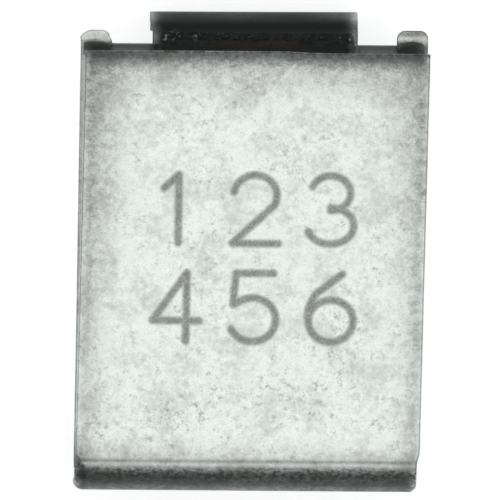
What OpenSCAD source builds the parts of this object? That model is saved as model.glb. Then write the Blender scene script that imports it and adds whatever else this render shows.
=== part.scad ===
// Surface-mount resettable fuse: a conductive-polymer chip soldered between
// two folded sheet terminals, each ending in a foot tucked under the body.
// Millimetres. X is the width, +Y points to the end with the narrow tab, and
// z = 0 is the board that both feet stand on.

/* [Overall] */
// Length over the two end walls
overall_len = 8.79; // [8.0:0.01:9.5]
// Height from the board to the top of the upper plate
overall_h = 2.60; // [2.3:0.01:3.0]
// Width of the lower plate at its free end
body_w = 6.40; // [6.0:0.01:6.71]

/* [Terminal sheet] */
// Thickness of the terminal sheet
sheet_t = 0.20; // [0.15:0.01:0.25]
// Inner radius of every bend
bend_r = 0.34; // [0.2:0.01:0.4]
// Width of the coined groove where the upper plate meets its bend
coin_w = 0.06; // [0.03:0.01:0.1]
// Depth of the coined groove
coin_d = 0.02; // [0.01:0.005:0.04]
// Round on the upper corner of the free edge of the upper plate
free_edge_r = 0.08; // [0.03:0.01:0.12]

/* [Upper terminal] */
// How far the free edge of the upper plate stays back from the relief slots
ledge = 0.15; // [0.08:0.01:0.3]
// How far the left side of the upper plate lies inside the lower plate
left_inset = 0.07; // [0.0:0.01:0.12]
// How far the right side of the upper plate has come in at the bend
upper_taper = 0.07; // [0.0:0.01:0.1]
// Depth of the relief notch on the left side of the bend
notch_depth = 0.14; // [0.05:0.01:0.2]
// Length of the slanted flank by which each side leaves the plate
notch_flank = 0.19; // [0.1:0.01:0.25]
// Length of the flank by which the left notch runs out to the wall
notch_return = 0.10; // [0.05:0.01:0.2]
// Distance from the start of the left flank to the bend
notch_lead_left = 0.14; // [0.05:0.01:0.25]
// Distance from the start of the right flank to the bend
notch_lead_right = 0.17; // [0.05:0.01:0.25]
// How far the left edge of the end wall lies inside the lower plate
wall_inset_left = 0.01; // [0.0:0.01:0.1]
// How far the right edge of the end wall lies inside the lower plate
wall_inset_right = 0.12; // [0.1:0.01:0.2]
// Round on the left upright outer edge of the end wall
wall_edge_r = 0.17; // [0.05:0.01:0.2]
// Chamfer on the right upright outer edge of the end wall
wall_edge_c = 0.08; // [0.05:0.01:0.15]
// Height of the lower edge of the wide part of the wall
shoulder_z = 1.22; // [1.05:0.01:1.4]
// Round on the two lower corners of the wide part of the wall
shoulder_r = 0.35; // [0.1:0.01:0.4]
// Fillet between the wide part of the wall and the leg
leg_fillet_r = 0.25; // [0.1:0.01:0.4]

/* [Lower terminal] */
// Length of flat neck between the relief slots and the bend
slot_land = 0.07; // [0.02:0.01:0.15]
// Length of the left corner nub, past the relief slots
nub_len_left = 0.24; // [0.16:0.01:0.32]
// Length of the right corner nub, past the relief slots
nub_len_right = 0.27; // [0.16:0.01:0.32]
// Width of each corner nub
nub_w = 0.57; // [0.4:0.01:0.8]
// Round on the corners of the left nub
nub_r_left = 0.20; // [0.05:0.01:0.2]
// Round on the corners of the right nub
nub_r_right = 0.15; // [0.05:0.01:0.2]
// Distance from the relief slots to the step where the neck widens to the tab
neck_len = 0.23; // [0.15:0.01:0.35]
// Step from the tab in to the neck, on the left side only
neck_step = 0.08; // [0.01:0.01:0.15]
// How far the right side of the lower plate has come in at its rear edge
lower_taper = 0.10; // [0.0:0.01:0.1]
// Gap between the rear edge of the lower plate and the wall behind it
rear_gap = 0.18; // [0.15:0.01:0.7]

/* [Feet] */
// Width of both feet, of the leg and of the tab
foot_w = 3.81; // [3.4:0.01:3.94]
// Length of each foot from the outside of its end wall
foot_len = 1.05; // [0.8:0.01:1.37]
// Round on the corners of each foot
foot_r = 0.2; // [0.05:0.01:0.2]

/* [Core] */
// Thickness of the conductive-polymer chip
core_t = 0.71; // [0.5:0.01:0.85]
// Thickness of each electrode foil
foil_t = 0.035; // [0.03:0.005:0.06]
// Thickness of each solder layer
solder_t = 0.06; // [0.04:0.01:0.08]
// How far the chip lies inside the lower plate on each long side
core_inset = 0.12; // [0.1:0.01:0.2]
// How far the chip lies behind the free edge of the upper plate
core_front_inset = 0.06; // [0.02:0.01:0.15]
// How far the chip lies inside the rear edge of the lower plate
core_rear_inset = 0.04; // [0.01:0.01:0.15]
// How far the upper solder layer lies inside the chip on each long side
upper_solder_inset = 0.08; // [0.02:0.01:0.2]

/* [Solder fillet] */
// Height of the fillet on the end of the chip, above the lower plate
fillet_h = 0.48; // [0.25:0.01:0.6]
// How far the fillet stays back from the bottom of the relief slots
fillet_margin = 0.015; // [0.005:0.005:0.04]
// Thickness of the solder skin on the neck, and of the fillet's two edges
skin_t = 0.03; // [0.02:0.005:0.05]
// How far the solder skin on the neck lies inside the neck on each side
skin_inset = 0.06; // [0.02:0.01:0.2]
// Reach of the solder skin past the relief slots, over the start of the bend
skin_reach = 0.22; // [0.15:0.01:0.28]
// Reach of the rounded solder lobe on each nub, past the relief slots
lobe_reach = 0.12; // [0.04:0.01:0.14]
// How far each lobe lies inside the two sides of its nub
lobe_inset = 0.045; // [0.02:0.005:0.08]
// Height of each solder lobe above the nub
lobe_h = 0.10; // [0.04:0.01:0.15]

/* [Hidden] */
$fn = 72;
// How far a cutter runs past the face that it cuts
cut = 0.5;

// Places along the part
outer_r = bend_r + sheet_t;
wall_y = overall_len / 2;
bend_y = wall_y - outer_r;
slot_y = bend_y - slot_land;
free_y = slot_y - ledge;
core_front_y = free_y - core_front_inset;
lower_rear_y = -wall_y + sheet_t + rear_gap;
core_rear_y = lower_rear_y + core_rear_inset;

// Heights of the stack, from the top plate down
upper_z = overall_h - sheet_t;
upper_foil_z = upper_z - solder_t - foil_t;
core_z = upper_foil_z - core_t;
lower_foil_z = core_z - foil_t;
lower_top_z = lower_foil_z - solder_t;

// Places across the part
core_w = body_w - 2 * core_inset;
plate_left = left_inset - body_w / 2;
plate_right = body_w / 2;
wall_left = wall_inset_left - body_w / 2;
wall_right = body_w / 2 - wall_inset_right;

tin = [0.80, 0.82, 0.80];
solder = [0.45, 0.46, 0.45];
nickel = [0.62, 0.60, 0.55];
carbon_black = [0.10, 0.10, 0.11];

// Carries a side view, drawn with x along the part and y up, over a width
module across(width)
  rotate([90, 0, 90])
    linear_extrude(width, center = true)
      children();

// Carries an end view, drawn with x across the part and y up, over the length
module along()
  rotate([90, 0, 0])
    linear_extrude(overall_len + 2 * cut, center = true)
      children();

// Carries a plan view from the height z up by a thickness
module layer(z, thickness)
  translate([0, 0, z])
    linear_extrude(thickness)
      children();

// Plan view of a rectangle between two places along the part
module strip_2d(width, rear, front)
  translate([-width / 2, rear])
    square([width, front - rear]);

// Plan view of a tongue that ends at a place along the part, with its two
// far corners rounded
module tongue_2d(width, length, r, tip) {
  strip_2d(width, tip - length, tip - r);
  strip_2d(width - 2 * r, tip - length, tip);
  for (side = [-1, 1])
    translate([side * (width / 2 - r), tip - r])
      circle(r);
}

// Quarter of a bend in side view, about its own axis
module bend_2d()
  intersection() {
    difference() {
      circle(outer_r);
      circle(bend_r);
    }
    square(outer_r);
  }

// Side view of a terminal whose top is at the height h and whose flat plate
// starts at the place rear: plate, bend, wall, bend and foot
module terminal_side_2d(h, rear) {
  translate([rear, h - sheet_t])
    square([bend_y - rear, sheet_t]);
  translate([bend_y, h - outer_r])
    bend_2d();
  translate([wall_y - sheet_t, outer_r])
    square([sheet_t, h - 2 * outer_r]);
  translate([bend_y, outer_r])
    mirror([0, 1])
      bend_2d();
  translate([wall_y - foot_len, 0])
    square([foot_len - outer_r, sheet_t]);
}

// What is cut away to round the two corners of the foot
module foot_corners()
  layer(-cut, cut + sheet_t)
    difference() {
      strip_2d(foot_w + 2 * cut, wall_y - foot_len - cut, bend_y);
      mirror([0, 1])
        tongue_2d(foot_w, foot_len, foot_r, foot_len - wall_y);
    }

// Outline of the upper terminal in plan, with its bend at the +Y end. On the
// right the plate narrows straight to the end wall; on the left a relief notch
// parts the two. One corner of the wall is rounded, the other chamfered.
module upper_plan_2d() {
  left_y = bend_y - notch_lead_left;
  right_y = bend_y - notch_lead_right;
  polygon([
    [plate_left, -free_y],
    [plate_right, -free_y],
    [plate_right - upper_taper, right_y],
    [wall_right, right_y + notch_flank],
    [wall_right, wall_y - wall_edge_c],
    [wall_right - wall_edge_c, wall_y],
    [wall_left + wall_edge_r, wall_y],
    [wall_left, wall_y - wall_edge_r],
    [wall_left, left_y + notch_flank + notch_return],
    [plate_left + notch_depth, left_y + notch_flank],
    [plate_left, left_y]
  ]);
  translate([wall_left + wall_edge_r, wall_y - wall_edge_r])
    circle(wall_edge_r);
}

// End view of the upper terminal: wide wall with rounded lower corners, and
// the leg that leaves it through two fillets
module upper_end_2d() {
  wide_w = body_w + 2 * cut;
  round_z = shoulder_z + shoulder_r;
  translate([-wide_w / 2, round_z])
    square([wide_w, overall_h + cut - round_z]);
  translate([wall_left + shoulder_r, shoulder_z])
    square([wall_right - wall_left - 2 * shoulder_r, shoulder_r]);
  for (x = [wall_left + shoulder_r, wall_right - shoulder_r])
    translate([x, round_z])
      circle(shoulder_r);
  translate([-foot_w / 2, -cut])
    square([foot_w, shoulder_z + cut]);
  for (side = [0, 1])
    mirror([side, 0])
      translate([foot_w / 2, shoulder_z - leg_fillet_r])
        difference() {
          square(leg_fillet_r);
          translate([leg_fillet_r, 0])
            circle(leg_fillet_r);
        }
}

// Side view of the upper terminal, with the round on its free edge and the
// coined groove where the bend begins
module upper_side_2d()
  difference() {
    terminal_side_2d(overall_h, -free_y);
    translate([free_edge_r - free_y, overall_h - free_edge_r])
      difference() {
        translate([-free_edge_r - cut, 0])
          square([free_edge_r + cut, cut]);
        circle(free_edge_r);
      }
    translate([bend_y, overall_h])
      polygon([[-coin_w / 2, 0], [0, -coin_d], [coin_w / 2, 0], [coin_w / 2, cut], [-coin_w / 2, cut]]);
  }

// Upper plate, end wall, leg and foot, stamped and folded from one sheet
module upper_terminal()
  color(tin)
    mirror([0, 1, 0])
      difference() {
        intersection() {
          across(body_w + 2 * cut) upper_side_2d();
          layer(-cut, overall_h + 2 * cut) upper_plan_2d();
          along() upper_end_2d();
        }
        foot_corners();
      }

// Solder layer between the upper plate and the chip, as far as the bend
module upper_solder()
  color(solder)
    layer(upper_foil_z + foil_t, solder_t)
      strip_2d(core_w - 2 * upper_solder_inset, -bend_y, core_front_y);

// Electrode foil on the upper face of the chip
module upper_foil()
  color(nickel)
    layer(upper_foil_z, foil_t)
      strip_2d(core_w, core_rear_y, core_front_y);

// Conductive-polymer chip
module polymer_chip()
  color(carbon_black)
    layer(core_z, core_t)
      strip_2d(core_w, core_rear_y, core_front_y);

// Electrode foil on the lower face of the chip
module lower_foil()
  color(nickel)
    layer(lower_foil_z, foil_t)
      strip_2d(core_w, core_rear_y, core_front_y);

// Side view of the fillet against the end of the chip: its hollow face is an
// arc that starts upright at the top and ends at the toe on the plate
module fillet_2d(reach) {
  run = reach - skin_t;
  rise = fillet_h - skin_t;
  arc_r = (run * run + rise * rise) / (2 * run);
  difference() {
    polygon([[0, 0], [reach, 0], [reach, skin_t], [skin_t, fillet_h], [0, fillet_h]]);
    translate([skin_t + arc_r, fillet_h])
      circle(arc_r);
  }
}

// Side view of the solder skin on the neck and over the start of its bend
module neck_skin_2d() {
  translate([core_front_y, lower_top_z])
    square([bend_y - core_front_y, skin_t]);
  translate([bend_y, lower_top_z - outer_r])
    intersection() {
      difference() {
        circle(outer_r + skin_t);
        circle(outer_r);
      }
      square([slot_y + skin_reach - bend_y, outer_r + skin_t]);
    }
}

// Rounded lobe of solder on one nub: the cap of a sphere, in front of the chip
module nub_lobe(side) {
  lobe_r = nub_w / 2 - lobe_inset;
  ball_r = (lobe_r * lobe_r + lobe_h * lobe_h) / (2 * lobe_h);
  lobe_y = slot_y + lobe_reach - lobe_r;
  intersection() {
    translate([side * (body_w - nub_w) / 2, lobe_y, lower_top_z + lobe_h - ball_r])
      sphere(ball_r);
    layer(lower_top_z, 2 * lobe_h)
      strip_2d(body_w, core_front_y, wall_y);
  }
}

// Solder layer under the chip, with the fillet against the chip's end, the
// skin on the neck and the lobes on the nubs
module lower_solder()
  color(solder) {
    layer(lower_top_z, solder_t)
      strip_2d(core_w, core_rear_y, core_front_y + skin_t);
    translate([0, core_front_y, lower_top_z])
      across(core_w) fillet_2d(slot_y - fillet_margin - core_front_y);
    translate([neck_step / 2, 0, 0])
      across(foot_w - neck_step - 2 * skin_inset) neck_skin_2d();
    nub_lobe(-1);
    nub_lobe(1);
  }

// Plan view of one corner nub; its length counts from the relief slots
module nub_2d(side, length, r)
  translate([side * (body_w - nub_w) / 2, 0])
    tongue_2d(nub_w, length + r, r, slot_y + length);

// Flat outline of the lower plate with its two corner nubs
module lower_plan_2d() {
  polygon([
    [-body_w / 2, lower_rear_y], [plate_right - lower_taper, lower_rear_y],
    [plate_right, slot_y], [-body_w / 2, slot_y]
  ]);
  nub_2d(-1, nub_len_left, nub_r_left);
  nub_2d(1, nub_len_right, nub_r_right);
}

// What is cut away, in plan, on the left side of the neck: its step in from
// the tab ends in a slant
module neck_side_2d() {
  half = foot_w / 2;
  step_y = slot_y + neck_len;
  polygon([
    [-half - cut, slot_y - cut], [neck_step - half, slot_y - cut],
    [neck_step - half, step_y], [-half, step_y + neck_step], [-half - cut, step_y + neck_step]
  ]);
}

// Lower plate with its nubs, and the neck, tab, wall and foot folded from it
module lower_terminal()
  color(tin) {
    difference() {
      across(foot_w) terminal_side_2d(lower_top_z, slot_y - cut);
      layer(lower_top_z - outer_r, outer_r + cut) neck_side_2d();
      foot_corners();
    }
    layer(lower_top_z - sheet_t, sheet_t) lower_plan_2d();
  }

upper_terminal();
upper_solder();
upper_foil();
polymer_chip();
lower_foil();
lower_solder();
lower_terminal();
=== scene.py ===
"""Looks of a surface-mount resettable fuse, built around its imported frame.

Lengths are metres in the properties and millimetres in the code. Across the
part is x and along it is y. A folded sheet is laid out flat first: s is the
place along it, from its plate through the bends to its foot.
"""

import math
from types import SimpleNamespace

import bmesh
import bpy
import numpy as np
from mathutils import Matrix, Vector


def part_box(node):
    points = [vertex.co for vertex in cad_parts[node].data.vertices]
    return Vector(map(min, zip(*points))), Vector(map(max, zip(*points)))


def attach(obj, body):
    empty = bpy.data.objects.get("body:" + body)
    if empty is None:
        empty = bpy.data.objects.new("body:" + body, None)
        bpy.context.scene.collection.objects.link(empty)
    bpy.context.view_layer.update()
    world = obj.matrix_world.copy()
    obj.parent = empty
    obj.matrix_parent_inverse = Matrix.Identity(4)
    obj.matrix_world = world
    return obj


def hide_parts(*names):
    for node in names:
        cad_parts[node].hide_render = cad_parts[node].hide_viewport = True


bl_info = {
    "name": "Resettable Fuse Looks",
    "version": (1, 0, 0),
    "blender": (4, 5, 0),
    "location": "View3D > Sidebar > Fuse",
    "description": "Builds the folded tin-plated terminals, the chip and the solder of a small fuse",
    "category": "Object",
}

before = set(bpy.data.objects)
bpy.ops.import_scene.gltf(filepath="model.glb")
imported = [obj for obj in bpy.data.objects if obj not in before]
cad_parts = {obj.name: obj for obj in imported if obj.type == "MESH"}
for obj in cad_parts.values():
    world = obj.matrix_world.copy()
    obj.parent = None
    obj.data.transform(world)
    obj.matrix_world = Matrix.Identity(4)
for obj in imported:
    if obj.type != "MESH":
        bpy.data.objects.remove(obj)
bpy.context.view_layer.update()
MM = 0.001
BODY = "root"
# Share of one place that the skew adds to the other
SKEW_ACROSS, SKEW_ALONG = 0.0043, 0.0045
# Places of the columns or rows beside an outline, from it
EDGE_STEPS = np.array([0, 0.004, 0.011, 0.02, 0.031, 0.044, 0.06, 0.085, 0.12, 0.17, 0.24])
# Between the rows or columns of a grid: on plain parts, walls, feet and the
# bends at a foot, under the marks, and on the bend in view
PLAIN_STEP, WALL_STEP, FOOT_STEP, TURN_STEP, MARK_STEP, BEND_STEP = 0.09, 0.08, 0.06, 0.03, 0.036, 0.016
# The same on the lower terminal: the plate under the chip, and nubs and bend
HIDDEN_STEP, NUB_STEP = 0.12, 0.02
# How far the sides of the solder layers, the chip and the foils wander inwards
LAYER_WANDER, CHIP_WANDER, FOIL_WANDER = 0.03, 0.022, 0.008
# Sharper edges than this are shaded as edges, in degrees
SHARP = 50
# What the camera sees lies between these distances from it, in metres
CLIP = (0.001, 10)
# How far the floor lies under the feet, in metres
FLOOR_GAP = 2e-6
# Random values along a side of the noise's lattice
LATTICE = 64
# Points whose distances are measured at one time, and the least squared length
CHUNK, TINY = 4000, 1e-18


def node_box(name):
    """Lowest and highest corner of a CAD node, as two numpy points."""
    return tuple(np.array(corner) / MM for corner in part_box(name))


UPPER = node_box("upper_terminal")
LOWER = node_box("lower_terminal")
CHIP = node_box("polymer_chip")
BODY_HALF = LOWER[1][0]


# Sizes and colours that a user would change

def length(name, default):
    """A length property, given in millimetres and kept in metres."""
    return bpy.props.FloatProperty(name=name, default=default * MM, unit="LENGTH", precision=5)


def angle(name, default):
    """An angle property, given in degrees and kept in radians."""
    return bpy.props.FloatProperty(name=name, default=math.radians(default), subtype="ANGLE")


def share(name, default):
    """A property between 0 and 1."""
    return bpy.props.FloatProperty(name=name, default=default, min=0.0, max=1.0, subtype="FACTOR")


def colour(name, default):
    """A linear colour property."""
    return bpy.props.FloatVectorProperty(
        name=name, default=default, size=3, min=0.0, max=1.0, subtype="COLOR"
    )


class SheetSizes(bpy.types.PropertyGroup):
    """Sizes that both folded terminals share."""

    thickness: length("Thickness of the sheet", 0.20)
    bend: length("Inner radius of every bend", 0.34)
    foot_width: length("Width of the feet, the leg and the tab", 3.81)
    foot_length: length("Length of a foot with its bend", 1.05)
    foot_corner: length("Corners of a foot", 0.20)
    edge: length("Round of the outer edges", 0.035)
    burr: length("Round of the inner edges", 0.02)


class UpperSizes(bpy.types.PropertyGroup):
    """Sizes of the upper terminal."""

    left_inset: length("Left side inside the lower plate", 0.07)
    taper: length("Right side comes in to the bend by", 0.07)
    left_flare: length("Left side comes out to the bend by", 0.06)
    notch_depth: length("Depth of the notch on the left", 0.125)
    notch_flank: length("Length of the flank at each side", 0.19)
    notch_return: length("Length of the flank to the wall, left", 0.08)
    lead_left: length("From the left flank to the bend", 0.10)
    lead_right: length("From the right flank to the bend", 0.17)
    wall_left: length("Wall's left edge inside the body", 0.0)
    wall_right: length("Wall's right edge inside the body", 0.12)
    wall_round: length("Round on the wall's left outer edge", 0.17)
    wall_chamfer: length("Chamfer on the wall's right outer edge", 0.08)
    shoulder_height: length("Height of the wide wall's lower edge", 1.22)
    shoulder_round: length("Round on the wide wall's lower corners", 0.35)
    leg_fillet: length("Fillet between the wide wall and the leg", 0.25)
    droop: length("Droop of the free edge", 0.030)
    droop_reach: length("Reach of the droop", 0.14)
    groove_width: length("Width of the coined groove at the bend", 0.10)
    groove_depth: length("Depth of the coined groove at the bend", 0.006)


class LowerSizes(bpy.types.PropertyGroup):
    """Sizes of the lower terminal."""

    taper: length("Right side comes in to the rear by", 0.10)
    left_draw: length("Left side comes in to the slots by", 0.02)
    slot_land: length("Flat neck between the relief slots and the bend", 0.07)
    nub_left: length("Left nub past the slots", 0.24)
    nub_right: length("Right nub past the slots", 0.27)
    nub_width: length("Width of a corner nub", 0.57)
    round_left: length("Corners of the left nub", 0.20)
    round_right: length("Corners of the right nub", 0.15)
    nub_bulge: length("Bulge of the left nub's side", 0.028)
    neck_length: length("From the slots to the step of the neck", 0.34)
    neck_step: length("Step from the tab in to the neck, left", 0.041)
    lean: length("Left end of the tab stays back by", 0.038)
    foot_draw: length("Left side of the foot comes in by", 0.12)


class SolderSizes(bpy.types.PropertyGroup):
    """Sizes of the solder."""

    fillet_height: length("Height of the fillet on the chip", 0.48)
    fillet_margin: length("From the toe of the fillet to the slots", 0.015)
    skin: length("Thickness of the skin on the neck", 0.03)
    skin_inset: length("Skin inside the neck", 0.06)
    skin_reach: length("Reach of the skin past the slots", 0.22)
    lobe_reach: length("Reach of each lobe past the slots", 0.12)
    lobe_inset: length("Lobe inside its nub", 0.045)
    lobe_height: length("Height of each lobe above its nub", 0.10)
    spill: length("Reach of the lobes past the chip's sides", 0.05)
    lumps: length("Height of the lumps in the rough solder", 0.022)


class MarkSettings(bpy.types.PropertyGroup):
    """The two rows of plain numbers on the plate."""

    stroke: length("Width of a stroke", 0.138)
    height: length("Height of a digit", 1.25)
    width: length("Width of a digit", 0.86)
    pitch: length("From one digit to the next", 1.42)
    middle_x: length("Rows across the part", 0.03)
    first_row: length("First row along the part", 0.756)
    second_row: length("Second row along the part", -1.038)
    colour: colour("Colour of the marks", (0.352, 0.378, 0.342))


class Finishes(bpy.types.PropertyGroup):
    """Colours of the surfaces."""

    bright_tin: colour("Light patches of the plating", (0.843, 0.889, 0.853))
    dull_tin: colour("Grey patches of the plating", (0.60, 0.64, 0.61))
    tin_tint: colour("Tint of the plating seen at a slant", (0.72, 0.74, 0.74))
    pepper: colour("Small dark spots in the plating", (0.385, 0.402, 0.374))
    speck: colour("Fine darker specks in the plating", (0.26, 0.275, 0.26))
    light_scratch: colour("Scratches that catch the light", (0.93, 0.96, 0.94))
    dark_scratch: colour("Scratches that hold dirt", (0.24, 0.25, 0.23))
    # Tarnished and burnt plating, which also serves as painted shade on the bends, the tab, the free
    # edge and the strip beside the plate
    slate_and_shade: colour("Tarnished and burnt plating", (0.036, 0.043, 0.041))
    warm: colour("Faint warm stain beside the edges", (0.62, 0.60, 0.55))
    flux: colour("Burnt flux on the solder", (0.026, 0.030, 0.0275))
    charred: colour("Blackest flux on the neck", (0.007, 0.0075, 0.007))
    flux_dust: colour("Lighter grain in the flux", (0.042, 0.046, 0.044))
    flux_brown: colour("Thin flux that still shows brown", (0.058, 0.040, 0.022))
    glint: colour("Bare solder that shines through", (0.19, 0.215, 0.215))
    grey_solder: colour("Dull solder without flux", (0.18, 0.19, 0.185))
    nickel: colour("Electrode foil on the chip", (0.27, 0.26, 0.235))
    dark_nickel: colour("Darker streaks of the foil", (0.17, 0.16, 0.14))
    foil_spot: colour("Dark spots on the foil", (0.09, 0.085, 0.08))
    polymer: colour("Conductive polymer of the chip", (0.020, 0.020, 0.022))
    polymer_rub: colour("Greyer rubs on the chip", (0.060, 0.060, 0.062))
    polymer_dust: colour("Lighter grain of the chip", (0.085, 0.085, 0.085))


class StageSettings(bpy.types.PropertyGroup):
    """Camera and light."""

    distance: length("From the camera to the top of the plate", 400.0)
    picture: length("Width of the picture there", 9.107)
    aim_x: length("Picture's middle across the part", -0.0513)
    aim_y: length("Picture's middle along the part", 0.0116)
    side_angle: angle("How far to the left the camera stands", 2.1)
    roll: angle("Clockwise turn of the part", 0.75)
    lamp_height: length("Height of the softbox over the part", 300.0)
    lamp_angle: angle("Half the angle that the softbox fills", 36)
    lamp_level: share("Radiance of the softbox over two", 0.52)
    world_level: share("Radiance of the surroundings", 0.20)
    sky: colour("Colour of the surroundings", (0.97, 0.985, 1.0))
    floor_level: share("Light that the floor sends back", 0.80)
    floor_glow: share("Floor's glow for camera and mirrors", 0.62)
    floor_radius: length("Radius of the flat floor", 350.0)
    floor_rise: length("Height of the floor's upturned rim", 140.0)


def millimetres(group):
    """The group's numbers, with every length in millimetres."""
    values = {name: getattr(group, name) for name in group.__annotations__}
    return SimpleNamespace(**{
        name: value / MM if isinstance(value, float) else value for name, value in values.items()
    })


def sheet_sizes(scene):
    """The sizes of both terminals, with half the sheet's thickness and half the
    feet's width, and the radius of a bend at the sheet's middle and outside."""
    sheet = millimetres(scene.fuse_sheet)
    sheet.half, sheet.foot_half = sheet.thickness / 2, sheet.foot_width / 2
    sheet.middle, sheet.outer = sheet.bend + sheet.half, sheet.bend + sheet.thickness
    return sheet


# Meshes

def bell(gap, width):
    """A smooth bump: 1 where the gap is 0, a third at the width, and then 0."""
    return np.exp(-(gap / width) ** 2)


def grow(value, start, width):
    """0 up to the start, 1 from a width further on, and even growth between."""
    return np.clip((value - start) / width, 0, 1)


def lattice_noise(u, v, seed):
    """Smooth random height between -1 and 1: random values on a square lattice
    of side 1, joined by a smoothstep in u and in v."""
    table = np.random.default_rng(seed).uniform(-1, 1, (LATTICE, LATTICE))
    i, j = np.floor(u).astype(int), np.floor(v).astype(int)
    fu, fv = u - i, v - j
    fu, fv = fu * fu * (3 - 2 * fu), fv * fv * (3 - 2 * fv)
    low, high = (
        table[i % LATTICE, row % LATTICE] * (1 - fu) + table[(i + 1) % LATTICE, row % LATTICE] * fu
        for row in (j, j + 1)
    )
    return low * (1 - fv) + high * fv


def segment_gap(x, y, start, run):
    """Distance from each point to the nearest of some straight segments, which
    are given by their starts and runs."""
    size = np.maximum((run ** 2).sum(1), TINY)
    points = np.stack([x.ravel(), y.ravel()], 1)
    distance = np.empty(len(points))
    for part in np.array_split(np.arange(len(points)), len(points) // CHUNK + 1):
        gap = points[part, None, :] - start
        along = np.clip((gap * run).sum(2) / size, 0, 1)
        distance[part] = np.sqrt(((gap - along[..., None] * run) ** 2).sum(2).min(1))
    return distance.reshape(x.shape)


def outline_edges(cells):
    """Pairs of grid corners along the outline of the kept cells: an edge is on
    the outline if just one of the two cells beside it is kept. Returns two
    arrays of (column, row), in matching order."""
    kept = np.pad(cells, 1)
    along = kept[:-1, 1:-1] != kept[1:, 1:-1]
    across = kept[1:-1, :-1] != kept[1:-1, 1:]
    a, b = np.argwhere(along), np.argwhere(across)
    return np.concatenate([a, b]), np.concatenate([a + (0, 1), b + (1, 0)])


def outline_distance(x, s, cells):
    """Distance from each grid corner to the outline of the kept cells."""
    start, end = (
        np.stack([x[tuple(ends.T)], s[tuple(ends.T)]], 1) for ends in outline_edges(cells)
    )
    return segment_gap(x, s, start, end - start)


def skewed(points):
    """The slight skew of the folded part: to the place across it a share of the
    place along it is added, and the other way round, and the whole is drawn in
    so that it stays inside its box."""
    x, y, z = np.moveaxis(points, -1, 0)
    fit_x = 1 - SKEW_ACROSS * LOWER[1][1] / BODY_HALF
    fit_y = 1 - SKEW_ALONG * BODY_HALF / LOWER[1][1]
    return np.stack([x * fit_x + SKEW_ACROSS * y, y * fit_y + SKEW_ALONG * x, z], -1)


def closed_shell(name, grids, cells, attributes=None):
    """A closed mesh from grids of points, from the top down: the kept cells of
    the first grid and of the last one, and between them a wall along the
    outline, through the outline points of any grids between. Attributes hold a
    number for each grid corner, and are for shells of two grids."""
    first, second = (tuple(ends.T) for ends in outline_edges(cells))
    corner = np.zeros((cells.shape[0] + 1, cells.shape[1] + 1), bool)
    for i, j in ((0, 0), (1, 0), (1, 1), (0, 1)):
        corner[i:i + cells.shape[0], j:j + cells.shape[1]] |= cells
    rim = np.zeros_like(corner)
    rim[first] = rim[second] = True
    points, layers, count = [], [], 0
    for grid, kept in zip(grids, [corner, *[rim] * (len(grids) - 2), corner]):
        number = np.full(corner.shape, -1)
        number[kept] = count + np.arange(kept.sum())
        count += kept.sum()
        points.append(grid[kept])
        layers.append(number)
    c, r = np.nonzero(cells)
    quad = [(c, r), (c + 1, r), (c + 1, r + 1), (c, r + 1)]
    faces = [
        np.stack([layers[0][q] for q in quad], 1), np.stack([layers[-1][q] for q in quad[::-1]], 1)
    ]
    for upper, lower in zip(layers, layers[1:]):
        faces.append(np.stack([upper[first], upper[second], lower[second], lower[first]], 1))
    mesh = bpy.data.meshes.new(name)
    mesh.from_pydata(skewed(np.concatenate(points)) * MM, [], np.concatenate(faces).tolist())
    for key, values in (attributes or {}).items():
        data = np.tile(values[corner], 2).astype(np.float32)
        mesh.attributes.new(key, "FLOAT", "POINT").data.foreach_set("value", data)
    shell = bmesh.new()
    shell.from_mesh(mesh)
    bmesh.ops.recalc_face_normals(shell, faces=shell.faces)
    shell.to_mesh(mesh)
    shell.free()
    mesh.polygons.foreach_set("use_smooth", np.ones(len(mesh.polygons), bool))
    mesh.set_sharp_from_angle(angle=math.radians(SHARP))
    piece = bpy.data.objects.new(name, mesh)
    bpy.context.scene.collection.objects.link(piece)
    return piece


def steps(start, stop, step):
    """Even places from start to stop, about a step apart."""
    return np.linspace(start, stop, max(2, math.ceil((stop - start) / step) + 1))


def corner_rows(end, radius, count):
    """Places through a rounded corner that stops at end."""
    return end - radius * (1 - np.sin(np.linspace(0, math.pi / 2, count)))


def rows_at(*places):
    """All the given places in order, each once."""
    return np.unique(np.round(np.concatenate(places), 5))


def span(width, step, far_edge=True):
    """Fractions across a span of a given width: the edge steps beside its near
    side, and beside its far side if that is an outline, and even steps
    between."""
    far = EDGE_STEPS if far_edge else EDGE_STEPS[:1]
    middle = steps(EDGE_STEPS[-1], width - far[-1], step)
    return np.unique(np.round(np.concatenate([EDGE_STEPS, middle, width - far]) / width, 7))


def columns(lines, spans):
    """Places across the sheet: between each pair of neighbouring lines, which
    hold one place for every row, the columns stand at fixed fractions. Returns
    the grid and the number of the span that each strip of cells belongs to."""
    grid, strips = [lines[0][None, :]], []
    for k, fractions in enumerate(spans):
        part = fractions[1:, None]
        grid.append(lines[k] * (1 - part) + lines[k + 1] * part)
        strips += [k] * (len(fractions) - 1)
    return np.concatenate(grid), np.array(strips)


def rounded(distance, radius):
    """Drop of a quarter-round edge: zero beyond the radius, the whole radius at
    the outline, and a circle's arc between."""
    inward = radius - np.minimum(distance, radius)
    return radius - np.sqrt(np.maximum(radius ** 2 - inward ** 2, 0))


def corner_arc(s, end, radius):
    """How far a rounded corner of a given radius draws a side in, at the place
    s of a strip that stops at end."""
    past = np.clip(s - (end - radius), 0, radius)
    return radius - np.sqrt(radius ** 2 - past ** 2)


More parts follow.
